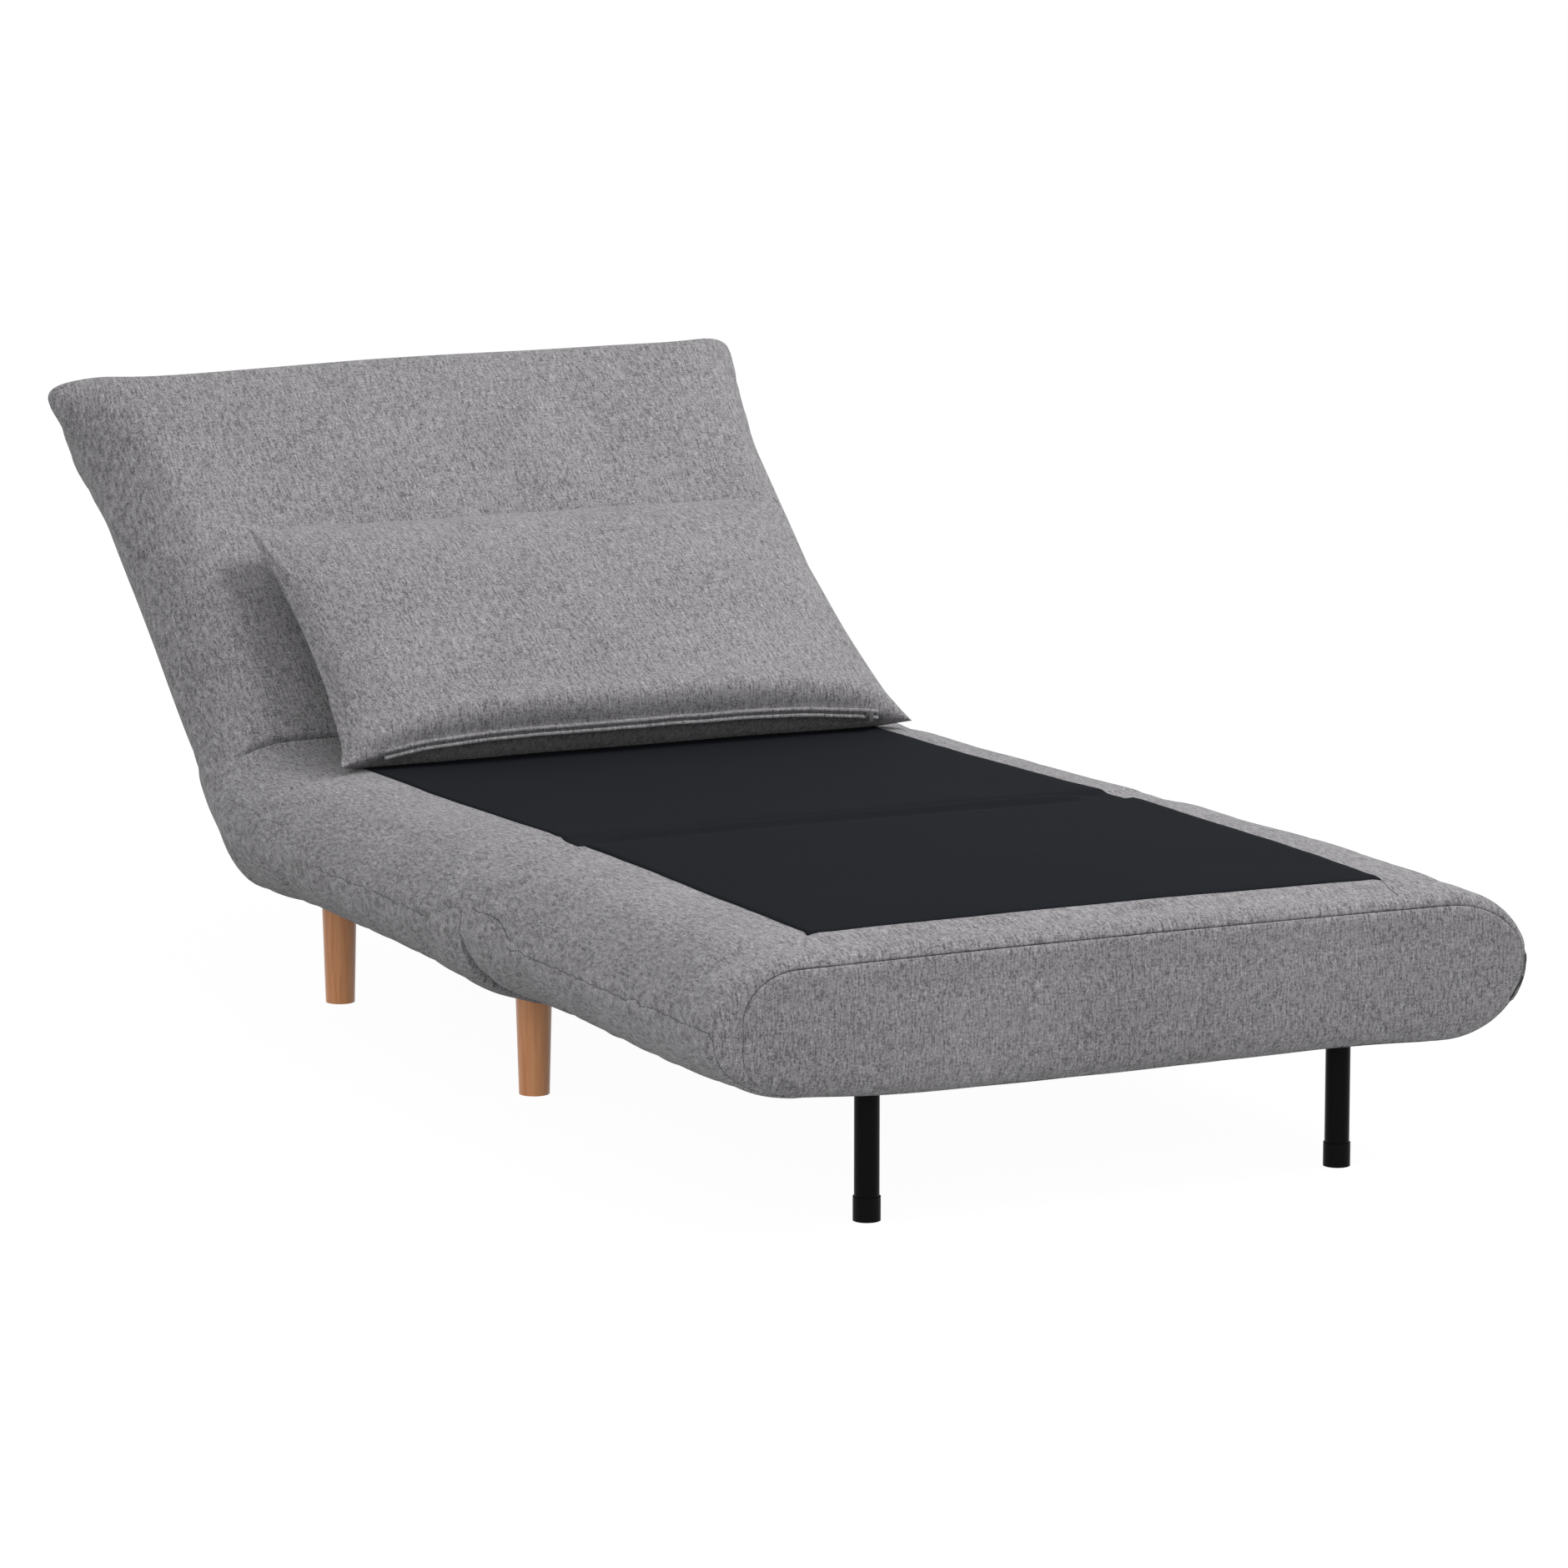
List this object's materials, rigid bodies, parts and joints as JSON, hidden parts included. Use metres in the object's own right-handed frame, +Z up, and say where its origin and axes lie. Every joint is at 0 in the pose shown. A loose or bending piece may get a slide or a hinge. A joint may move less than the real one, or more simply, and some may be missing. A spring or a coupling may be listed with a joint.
{
  "type": "folding chair bed",
  "caption": "Single chair bed: fold-over foot section, seat on turned wooden legs, reclining back and loose lumbar pillow.",
  "frame": {"origin": "on the floor, under the middle of the bounding box at rest", "axes": "+Z up, +Y towards the backrest, +X across the bed"},
  "size_m": [0.9, 1.8438, 0.6547],
  "materials": {
    "grey_fabric": "heathered weave",
    "black_cloth": "smooth cloth",
    "foam": "open foam",
    "frame_wood": "planed beech",
    "leg_wood": "satin lacquered beech",
    "black_plastic": "moulded",
    "black_steel": "satin black paint",
    "zinc_steel": "zinc plated"
  },
  "bodies": {
    "seat": {"seat_cover": "grey_fabric", "seat_black_cloth": "black_cloth", "seat_dust_cloth": "black_cloth", "seat_top_foam": "foam", "seat_left_bolster": "foam", "seat_right_bolster": "foam", "seat_front_rail": "frame_wood", "seat_rear_rail": "frame_wood", "seat_left_rail": "frame_wood", "seat_right_rail": "frame_wood", "seat_slats": "frame_wood", "front_wooden_legs": "leg_wood", "rear_wooden_legs": "leg_wood", "leg_mounting_plates": "zinc_steel", "leg_hanger_bolts": "zinc_steel", "fold_hinge_seat_leaves": "zinc_steel", "fold_hinge_pins": "zinc_steel", "left_recline_seat_arm": "zinc_steel", "right_recline_seat_arm": "zinc_steel", "recline_pivot_pins": "zinc_steel"},
    "extension": {"extension_cover": "grey_fabric", "extension_black_cloth": "black_cloth", "extension_front_panel": "grey_fabric", "extension_top_foam": "foam", "extension_seat_foam": "foam", "extension_left_bolster": "foam", "extension_right_bolster": "foam", "extension_front_rail": "frame_wood", "extension_rear_rail": "frame_wood", "extension_left_rail": "frame_wood", "extension_right_rail": "frame_wood", "extension_slats": "frame_wood", "leg_frame_brackets": "black_steel", "fold_hinge_extension_leaves": "zinc_steel"},
    "leg_frame": {"steel_leg_left": "black_steel", "steel_leg_right": "black_steel", "leg_crossbar": "black_steel", "leg_end_caps": "black_plastic"},
    "backrest": {"backrest_cover": "grey_fabric", "backrest_top_panel": "grey_fabric", "backrest_front_foam": "foam", "backrest_rear_foam": "foam", "backrest_left_bolster": "foam", "backrest_right_bolster": "foam", "backrest_left_rail": "frame_wood", "backrest_right_rail": "frame_wood", "backrest_bottom_rail": "frame_wood", "backrest_top_rail": "frame_wood", "backrest_slats": "frame_wood", "left_recline_back_arm": "zinc_steel", "right_recline_back_arm": "zinc_steel"},
    "pillow": {"pillow": "grey_fabric"}
  },
  "joints": [
    {"name": "extension_fold", "type": "hinge", "parent": "seat", "child": "extension", "pos_m": [0, -0.31218, 0.2825], "axis": [-1, 0, 0], "range_deg": [0, 180]},
    {"name": "support_leg_fold", "type": "hinge", "parent": "extension", "child": "leg_frame", "pos_m": [0, -0.86768, 0.149], "axis": [1, 0, 0], "range_deg": [0, 90]},
    {"name": "backrest_recline", "type": "hinge", "parent": "seat", "child": "backrest", "pos_m": [0, 0.42282, 0.2055], "axis": [1, 0, 0], "range_deg": [-41.2, 26], "deforming": ["pillow"]},
    {"name": "pillow_shift", "type": "slide", "parent": "backrest", "child": "pillow", "axis": [0, 0.7524, 0.6587], "range_m": [0, 0.235]}
  ],
  "couplings": [
    {"joint": "pillow_shift", "follows": "extension_fold", "m_per_rad": 0.074485}
  ]
}
